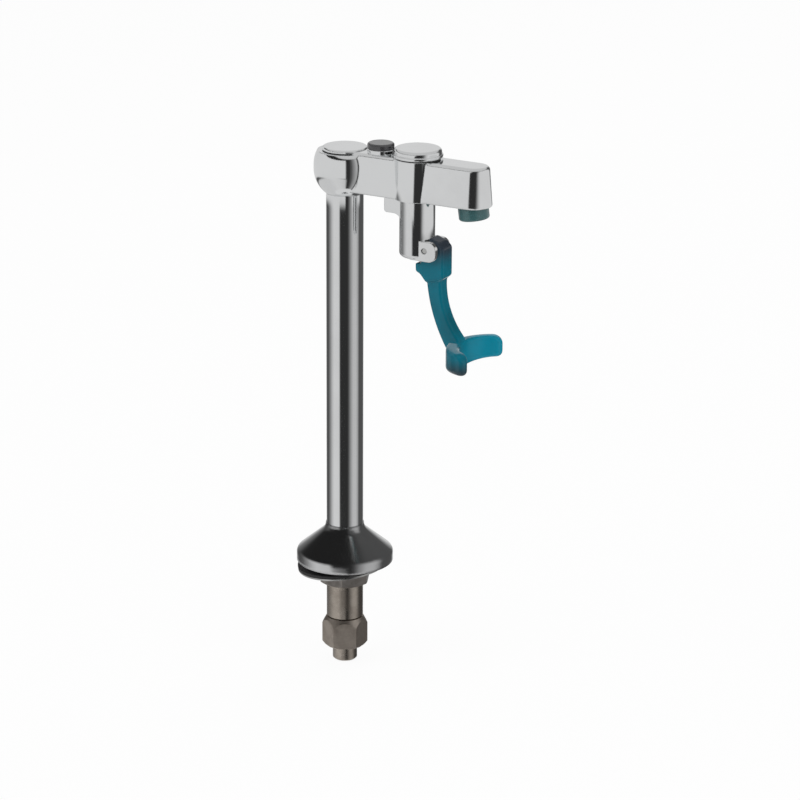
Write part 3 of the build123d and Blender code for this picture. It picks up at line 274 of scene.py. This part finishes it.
finishes = {
    "polishedChrome": {
        "metallic": 1.0, "colour": (0.83, 0.84, 0.845), "smudgeColour": (0.78, 0.785, 0.79),
        "smudgeScale": 26.0, "grainScale": 1400.0, "grainStretch": 1.0,
        "roughness": (0.06, 0.14), "bump": 0.2, "bumpHeight": 0.00001, "wave": 0.00005,
        "softEdge": 0.0008,
    },
    "tubeChrome": {
        "metallic": 1.0, "colour": (0.83, 0.84, 0.845), "smudgeColour": (0.78, 0.785, 0.79),
        "smudgeScale": 22.0, "grainScale": 1600.0, "grainStretch": 0.08,
        "roughness": (0.055, 0.12), "bump": 0.25, "bumpHeight": 0.00001,
    },
    # painted shade: the flange's chrome is darker than the body's chrome, for the dark that it
    # mirrors
    "flangeChrome": {
        "metallic": 1.0, "colour": (0.70, 0.705, 0.71), "smudgeColour": (0.62, 0.625, 0.63),
        "smudgeScale": 34.0, "grainScale": 1500.0, "grainStretch": 1.0,
        "roughness": (0.12, 0.21), "bump": 0.25, "bumpHeight": 0.00001, "softEdge": 0.0026,
    },
    "shankBrass": {
        "metallic": 1.0, "colour": (0.50, 0.445, 0.39), "smudgeColour": (0.33, 0.285, 0.24),
        "smudgeScale": 70.0, "grainScale": 700.0, "grainStretch": 6.0,
        "roughness": (0.22, 0.42), "bump": 0.5, "bumpHeight": 0.00003,
        "edge": {"radius": 0.0004, "gain": 4.0, "colour": (0.66, 0.58, 0.47)},
    },
    "forgedBrass": {
        "metallic": 1.0, "colour": (0.66, 0.585, 0.515), "smudgeColour": (0.44, 0.38, 0.33),
        "smudgeScale": 95.0, "grainScale": 900.0, "grainStretch": 1.0,
        "roughness": (0.42, 0.6), "bump": 0.7, "bumpHeight": 0.00005,
        "edge": {"radius": 0.0006, "gain": 4.0, "colour": (0.72, 0.64, 0.54)},
    },
    # painted shade: the lock nut's brass is darkened for the shadow under the flange; the lighter
    # edges are wear
    "shadowedBrass": {
        "metallic": 1.0, "colour": (0.27, 0.25, 0.235), "smudgeColour": (0.16, 0.145, 0.13),
        "smudgeScale": 95.0, "grainScale": 900.0, "grainStretch": 1.0,
        "roughness": (0.35, 0.55), "bump": 0.7, "bumpHeight": 0.00005,
        "edge": {"radius": 0.0006, "gain": 4.0, "colour": (0.5, 0.45, 0.38)},
    },
    "freshBrass": {
        "metallic": 1.0, "colour": (0.62, 0.50, 0.28), "smudgeColour": (0.46, 0.36, 0.20),
        "smudgeScale": 90.0, "grainScale": 900.0, "grainStretch": 6.0,
        "roughness": (0.2, 0.38), "bump": 0.5, "bumpHeight": 0.00003,
    },
    "stainlessSteel": {
        "metallic": 1.0, "colour": (0.55, 0.55, 0.54), "smudgeColour": (0.42, 0.42, 0.41),
        "smudgeScale": 90.0, "grainScale": 1200.0, "grainStretch": 3.0,
        "roughness": (0.2, 0.34), "bump": 0.4, "bumpHeight": 0.00002,
        "edge": {"radius": 0.0003, "gain": 4.0, "colour": (0.7, 0.7, 0.69)},
    },
    "blackRubber": {
        "metallic": 0.0, "colour": (0.012, 0.012, 0.013), "smudgeColour": (0.035, 0.034, 0.033),
        "smudgeScale": 110.0, "grainScale": 1500.0, "grainStretch": 1.0,
        "roughness": (0.5, 0.72), "bump": 0.7, "bumpHeight": 0.00005,
    },
    "tealMoulding": {  # teal, with painted shade on the hood, the arm and the near tip and a painted highlight on the far tip
        "metallic": 0.0, "colour": (0.001, 0.155, 0.22), "smudgeColour": (0.002, 0.12, 0.17),
        "smudgeScale": 38.0, "grainScale": 900.0, "grainStretch": 1.0,
        "roughness": (0.16, 0.3), "bump": 0.25, "bumpHeight": 0.00002, "wave": 0.00008,
        # painted shade and painted light: patches of colour that stand in for the light and shade
        # on the lever
        "paintedShades": (
            {"centre": (0.078, 0.0, 0.247), "reach": (0.026, 0.03, 0.026),
             "core": 0.4, "share": 0.95, "colour": (0.03, 0.034, 0.048)},
            {"centre": (0.084, -0.001, 0.184), "reach": (0.013, 0.012, 0.016),
             "core": 0.1, "share": 0.65, "colour": (0.002, 0.085, 0.115)},
            {"centre": (0.102, 0.024, 0.165), "reach": (0.034, 0.036, 0.02),
             "core": 0.3, "share": 0.9, "colour": (0.003, 0.26, 0.375)},
            {"centre": (0.103, -0.029, 0.152), "reach": (0.026, 0.026, 0.02),
             "core": 0.35, "share": 0.95, "colour": (0.028, 0.04, 0.05)},
        ),
        "shader": {"Coat Weight": 0.12, "Coat Roughness": 0.08, "IOR": 1.47,
                   "Specular IOR Level": 0.22},
    },
    "smokedMoulding": {
        "metallic": 0.0, "colour": (0.025, 0.095, 0.1), "smudgeColour": (0.05, 0.13, 0.135),
        "smudgeScale": 80.0, "grainScale": 1100.0, "grainStretch": 1.0,
        "roughness": (0.2, 0.36), "bump": 0.3, "bumpHeight": 0.00002,
        "edge": {"radius": 0.0005, "gain": 4.0, "colour": (0.09, 0.18, 0.185)},
        "shader": {"Coat Weight": 0.4, "Coat Roughness": 0.1},
    },
    "darkCap": {
        "metallic": 0.0, "colour": (0.035, 0.034, 0.037), "smudgeColour": (0.055, 0.053, 0.057),
        "smudgeScale": 80.0, "grainScale": 1100.0, "grainStretch": 1.0,
        "roughness": (0.14, 0.28), "bump": 0.3, "bumpHeight": 0.00002,
        "edge": {"radius": 0.0005, "gain": 4.0, "colour": (0.12, 0.115, 0.125)},
        "shader": {"Coat Weight": 0.6, "Coat Roughness": 0.06},
    },
}
materials = {name: finishFrom(name, look) for name, look in finishes.items()}

finishOfNode = {
    "polishedChrome": ("valve_body", "head_cap", "valve_cap", "regulator_bush"),
    "tubeChrome": ("column_tube",),
    "flangeChrome": ("deck_flange",),
    "shankBrass": ("mounting_shank", "tail_piece"),
    "forgedBrass": ("union_nut",),
    "shadowedBrass": ("lock_nut",),
    "freshBrass": ("stem_guide", "valve_seat", "stem", "poppet", "poppet_nut",
                   "regulator_spindle", "seal_retainer"),
    "stainlessSteel": ("clamp_washer", "inlet_strainer", "closing_spring", "lever_pin"),
    "blackRubber": ("seal_washer", "union_washer", "head_gasket", "valve_cap_gasket", "guide_seal",
                    "stem_seals", "seat_washer", "regulator_seal", "nozzle_seal"),
    "tealMoulding": ("lever",),
    "smokedMoulding": ("outlet_nozzle", "flow_straightener"),
    "darkCap": ("regulator_cap",),
}
for finish, names in finishOfNode.items():
    for name in names:
        mesh = nodes[name].data
        mesh.materials.clear()
        mesh.materials.append(materials[finish])
print("finishes on the CAD nodes:", sum(len(names) for names in finishOfNode.values()))

# the lever as moulded: one soft skin over the CAD lever's form
leverSkin = {
    "merge": 0.000001,
    "voxel": 0.00055,
    "smoothFactor": 0.5,
    "smoothPasses": 14,
}


def mergedCopy(node, name, distance):
    deselect()
    piece = bpy.data.objects.new(name, nodes[node].data.copy())
    bpy.context.scene.collection.objects.link(piece)
    piece.select_set(True)
    bpy.context.view_layer.objects.active = piece
    bpy.ops.object.mode_set(mode="EDIT")
    bpy.ops.mesh.select_all(action="SELECT")
    bpy.ops.mesh.remove_doubles(threshold=distance)
    bpy.ops.object.mode_set(mode="OBJECT")
    return piece


def applyModifier(kind, name, **values):
    modifier = bpy.context.object.modifiers.new(name, kind)
    for key, value in values.items():
        setattr(modifier, key, value)
    bpy.ops.object.modifier_apply(modifier=modifier.name)


def makeLever(settings):
    lever = mergedCopy("lever", "leverMoulding", settings["merge"])
    applyModifier("REMESH", "skin", mode="VOXEL", voxel_size=settings["voxel"])
    applyModifier("SMOOTH", "soften", factor=settings["smoothFactor"],
                  iterations=settings["smoothPasses"])
    bpy.ops.object.shade_smooth()
    lever.data.materials.clear()
    lever.data.materials.append(materials["tealMoulding"])
    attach(lever, "lever")
    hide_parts("lever")
    lever.visible_glossy = False  # no chrome in the photo mirrors it
    print("lever skin:", len(lever.data.polygons), "faces")


makeLever(leverSkin)

# studio: pale floor and light; metal and plastic mirror "sheen" where no card stands
studio = {
    "floorSize": 12.0,
    "floorDrop": 0.0008,
    "floorColour": (0.93, 0.93, 0.93),
    "floorRoughness": 0.9,
    "floorGloss": 0.1,
    "floorWhite": 0.93,  # share of the floor that the camera sees as white paper
    "worldLight": 0.62,
    "backdrop": 1.0,
    "sheen": 0.72,
}


def makeFloor(settings):
    deselect()
    bpy.ops.mesh.primitive_plane_add(size=settings["floorSize"],
                                     location=(0, 0, cadBox[0][2] - settings["floorDrop"]))
    floor = bpy.context.object
    floor.name = "studioFloor"
    bpy.ops.object.transform_apply(location=True, rotation=True, scale=True)
    material, tree, shader = newMaterial("paleFloor")
    shader.inputs["Base Color"].default_value = (*settings["floorColour"], 1.0)
    shader.inputs["Roughness"].default_value = settings["floorRoughness"]
    shader.inputs["Specular IOR Level"].default_value = settings["floorGloss"]
    white = addNode(tree, "ShaderNodeEmission", Color=(1, 1, 1, 1))
    rays = addNode(tree, "ShaderNodeLightPath")
    share = mathNode(tree, "MULTIPLY", rays.outputs["Is Camera Ray"], settings["floorWhite"])
    paper = addNode(tree, "ShaderNodeMixShader", Fac=share)
    tree.links.new(shader.outputs["BSDF"], paper.inputs[1])
    tree.links.new(white.outputs["Emission"], paper.inputs[2])
    tree.links.new(paper.outputs["Shader"], tree.nodes["Material Output"].inputs["Surface"])
    floor.data.materials.append(material)
    floor.visible_glossy = False


def makeWorld(settings):
    world = bpy.data.worlds.new("studioWorld")
    world.use_nodes = True
    bpy.context.scene.world = world
    tree = world.node_tree
    rays = addNode(tree, "ShaderNodeLightPath").outputs
    seen = mathNode(tree, "MAXIMUM", rays["Is Camera Ray"], rays["Is Transmission Ray"])
    plain = addNode(tree, "ShaderNodeMapRange", Value=seen,
                    To_Min=settings["worldLight"], To_Max=settings["backdrop"])
    mirrored = addNode(tree, "ShaderNodeMix", {"data_type": "FLOAT"})
    tree.links.new(rays["Is Glossy Ray"], mirrored.inputs[0])
    tree.links.new(plain.outputs["Result"], mirrored.inputs[2])
    mirrored.inputs[3].default_value = settings["sheen"]
    background = tree.nodes["Background"]
    tree.links.new(mirrored.outputs[0], background.inputs["Strength"])
    background.inputs["Color"].default_value = (1, 1, 1, 1)


# cards that only gloss mirrors; their angles are in degrees from the camera's side, + to the right
towardsCamera = math.radians(cameraView["turn"][2] - 90)
cameraRight = math.radians(cameraView["turn"][2])


def onlyMirrored(card, material):
    card.data.materials.append(material)
    card.visible_camera = False
    card.visible_diffuse = False
    card.visible_shadow = False
    card.visible_transmission = False


def glowMaterial(name):
    material, tree, shader = newMaterial(name)
    tree.nodes.remove(shader)
    glow = addNode(tree, "ShaderNodeEmission")
    tree.links.new(glow.outputs["Emission"], tree.nodes["Material Output"].inputs["Surface"])
    return material, tree, glow


def glowThrough(tree, glow, share):  # clear where the share is 0
    clear = addNode(tree, "ShaderNodeBsdfTransparent")
    mix = addNode(tree, "ShaderNodeMixShader", Fac=share)
    tree.links.new(clear.outputs["BSDF"], mix.inputs[1])
    tree.links.new(glow.outputs["Emission"], mix.inputs[2])
    tree.links.new(mix.outputs["Shader"], tree.nodes["Material Output"].inputs["Surface"])


def makeRoundGroup():  # where a point of a standing card lies: its turn about the axis, its height
    tree, _, result = newGroup("roundAxis", {}, {"turn": "Float", "height": "Float"})
    place = addNode(tree, "ShaderNodeTexCoord").outputs["Object"]
    part = addNode(tree, "ShaderNodeSeparateXYZ", Vector=place).outputs
    tree.links.new(mathNode(tree, "ARCTAN2", part["Y"], part["X"]), result.inputs["turn"])
    tree.links.new(part["Z"], result.inputs["height"])
    return tree


roundAxis = makeRoundGroup()


def greyRamp(tree, stops, amount):
    ramp = addNode(tree, "ShaderNodeValToRGB", Fac=amount)
    elements = ramp.color_ramp.elements
    for angle, grey in stops:
        share = (angle + 180) / 360
        if angle == -180:
            element = elements[0]
        elif angle == 180:
            element = elements[-1]
        else:
            element = elements.new(share)
        element.position = share
        element.color = (grey, grey, grey, 1.0)
    return ramp.outputs["Color"]


def eased(tree, start, end, value):
    node = addNode(tree, "ShaderNodeMapRange", {"interpolation_type": "SMOOTHSTEP"},
                   From_Min=start, From_Max=end, Value=value)
    return node.outputs["Result"]


def easedAngle(tree, start, end, angle):
    return eased(tree, math.radians(start), math.radians(end), angle)


# a grey wall all round
wall = {
    "radius": 3.0,
    "sides": 96,
    "low": -70.0,
    "high": 50.0,
    "edge": 6.0,  # its foot and top fade away
    # angle and grey
    "greys": [(-180, 0.7), (-170, 0.66), (-156, 0.2), (-140, 0.07), (-120, 0.1), (-100, 0.3),
              (-84, 0.56), (-70, 0.7), (-20, 0.68), (4, 0.6), (14, 0.3), (24, 0.1), (38, 0.34),
              (52, 0.54), (72, 0.56), (86, 0.4), (98, 0.09), (150, 0.09), (166, 0.7), (180, 0.7)],
    # a dark band in front; below "keep" its left side moves right, by "narrow" in all
    "band": {"grey": 0.03, "left": -39.0, "right": 28.0, "soft": 12.0,
             "keep": -20.5, "taper": -24.5, "narrow": 38.0},
    # dark above, from the front round to the left
    "shade": {"grey": 0.02, "foot": 12.0, "top": 28.0,
              "side": 150.0, "back": 166.0, "right": 30.0, "left": -10.0},
    # pale below on the left
    "glow": {"grey": 0.64, "foot": -26.0, "top": -22.0, "left": -70.0, "right": -40.0},
}


def makeWall(settings):
    low, high = (settings["radius"] * math.tan(math.radians(settings[end]))
                 for end in ("low", "high"))
    deselect()
    bpy.ops.mesh.primitive_cylinder_add(
        vertices=settings["sides"], radius=settings["radius"], depth=high - low,
        end_fill_type="NOTHING", location=(0, 0, 0), rotation=(0, 0, towardsCamera))
    piece = bpy.context.object
    piece.name = "greyWall"
    bpy.ops.object.mode_set(mode="EDIT")
    bpy.ops.mesh.select_all(action="SELECT")
    bpy.ops.transform.translate(value=(0, 0, (high + low) / 2))
    bpy.ops.object.mode_set(mode="OBJECT")

    material, tree, glow = glowMaterial("greyWall")
    around = useGroup(tree, roundAxis)
    turn = around["turn"]
    climb = mathNode(tree, "ARCTANGENT",
                     mathNode(tree, "DIVIDE", around["height"], settings["radius"]))
    onceRound = mathNode(tree, "MULTIPLY_ADD", turn, 0.5 / math.pi, 0.5)  # 0 to 1
    grey = greyRamp(tree, settings["greys"], onceRound)

    band = settings["band"]
    left = addNode(tree, "ShaderNodeMapRange", {"interpolation_type": "SMOOTHSTEP"}, Value=climb,
                   From_Min=math.radians(band["keep"]), From_Max=math.radians(band["taper"]),
                   To_Min=math.radians(band["left"]),
                   To_Max=math.radians(band["left"] + band["narrow"])).outputs["Result"]
    pastLeft = mathNode(tree, "SUBTRACT", turn, left)
    dark = product(tree, easedAngle(tree, 0.0, band["soft"], pastLeft),
                   easedAngle(tree, band["right"], band["right"] - band["soft"], turn))
    grey = mixColour(tree, dark, grey, (band["grey"],) * 3)

    shade = settings["shade"]
    aside = mathNode(tree, "ABSOLUTE", turn)
    shaded = product(tree, easedAngle(tree, shade["foot"], shade["top"], climb),
                     easedAngle(tree, shade["back"], shade["side"], aside),
                     easedAngle(tree, shade["right"], shade["left"], turn))
    grey = mixColour(tree, shaded, grey, (shade["grey"],) * 3)

    pale = settings["glow"]
    lit = product(tree, easedAngle(tree, pale["top"], pale["foot"], climb),
                  easedAngle(tree, pale["right"], pale["left"], turn))
    grey = mixColour(tree, lit, grey, (pale["grey"],) * 3)

    for end, step in (("low", settings["edge"]), ("high", -settings["edge"])):
        inside = easedAngle(tree, settings[end], settings[end] + step, climb)
        grey = mixColour(tree, inside, (studio["sheen"],) * 3, grey)
    tree.links.new(grey, glow.inputs["Color"])
    onlyMirrored(piece, material)


def addDisc(name, settings, turn=0.0):
    deselect()
    bpy.ops.mesh.primitive_circle_add(vertices=settings["sides"], radius=settings["radius"],
                                      fill_type="NGON", location=settings["place"],
                                      rotation=(0, 0, turn))
    piece = bpy.context.object
    piece.name = name
    return piece


# a dark disc high overhead, a little paler on the camera's right
overhead = {
    "place": (0, 0, 2.2),
    "radius": 3.0,
    "sides": 64,
    "grey": 0.018,
    "rightGrey": 0.09,
    "from": 0.3,
    "to": 1.5,
}


def makeOverhead(settings):
    piece = addDisc("darkOverhead", settings, cameraRight)
    material, tree, glow = glowMaterial("darkOverhead")
    place = addNode(tree, "ShaderNodeTexCoord").outputs["Object"]
    part = addNode(tree, "ShaderNodeSeparateXYZ", Vector=place).outputs
    share = eased(tree, settings["from"], settings["to"], part["X"])
    grey = mixColour(tree, share, (settings["grey"],) * 3, (settings["rightGrey"],) * 3)
    tree.links.new(grey, glow.inputs["Color"])
    onlyMirrored(piece, material)


# a pale screen that leans outward round the head; only rays from the axis side see it
screen = {
    "sides": 72,
    "foot": {"radius": 0.12, "height": 0.224},
    "top": {"radius": 0.345, "height": 0.44},
    "arcs": ((-164.0, -158.0, 0.0, 6.0), (34.0, 52.0, 92.0, 104.0)),  # fade in, then fade out
    "rise": 0.006,  # its foot fades in over this height
    "grey": 0.7,
}


def makeScreen(settings):
    foot, top = settings["foot"], settings["top"]
    deselect()
    bpy.ops.mesh.primitive_cone_add(
        vertices=settings["sides"], radius1=foot["radius"], radius2=top["radius"],
        depth=top["height"] - foot["height"], end_fill_type="NOTHING",
        location=(0, 0, (top["height"] + foot["height"]) / 2), rotation=(0, 0, towardsCamera))
    piece = bpy.context.object
    piece.name = "paleScreen"
    material, tree, glow = glowMaterial("paleScreen")
    glow.inputs["Color"].default_value = (settings["grey"],) * 3 + (1.0,)
    around = useGroup(tree, roundAxis)
    arcs = [product(tree, easedAngle(tree, start, full, around["turn"]),
                    easedAngle(tree, end, fading, around["turn"]))
            for start, full, fading, end in settings["arcs"]]
    low = (foot["height"] - top["height"]) / 2
    share = product(tree, mathNode(tree, "ADD", *arcs),
                    eased(tree, low, low + settings["rise"], around["height"]),
                    addNode(tree, "ShaderNodeNewGeometry").outputs["Backfacing"])
    glowThrough(tree, glow, share)
    onlyMirrored(piece, material)


# a pale lid just over the head; rays that have come from further down pass through it
lid = {
    "place": (0.045, 0.0, 0.4),
    "radius": 0.2,
    "sides": 64,
    "fade": 0.02,
    "nearest": 0.22,
    "furthest": 0.27,
    "grey": 0.6,
}


def makeLid(settings):
    piece = addDisc("paleLid", settings)
    material, tree, glow = glowMaterial("paleLid")
    glow.inputs["Color"].default_value = (settings["grey"],) * 3 + (1.0,)
    place = addNode(tree, "ShaderNodeTexCoord").outputs["Object"]
    away = vectorNode(tree, "LENGTH", place)["Value"]
    length = addNode(tree, "ShaderNodeLightPath").outputs["Ray Length"]
    share = product(tree,
                    eased(tree, settings["radius"], settings["radius"] - settings["fade"], away),
                    eased(tree, settings["furthest"], settings["nearest"], length))
    glowThrough(tree, glow, share)
    onlyMirrored(piece, material)


# soft lamps, all turned to the middle of the tap
lamps = {
    "aim": (0.04, 0.0, 0.12),
    "key": {"place": (-1.2, -1.6, 1.9), "size": 1.4, "power": 16.0},
    "fill": {"place": (2.0, -0.4, 1.5), "size": 1.6, "power": 10.0},
    "back": {"place": (0.2, 1.9, 1.8), "size": 1.6, "power": 8.0},
}


def makeLamps(settings):
    for name in ("key", "fill", "back"):
        lamp = settings[name]
        away = Vector(settings["aim"]) - Vector(lamp["place"])
        bpy.ops.object.light_add(type="AREA", location=lamp["place"],
                                 rotation=away.to_track_quat("-Z", "Y").to_euler())
        light = bpy.context.object
        light.name = name + "Lamp"
        light.data.size = lamp["size"]
        light.data.energy = lamp["power"]
        light.visible_glossy = False


makeFloor(studio)
makeWorld(studio)
makeWall(wall)
makeOverhead(overhead)
makeScreen(screen)
makeLid(lid)
makeLamps(lamps)
print("studio ready")
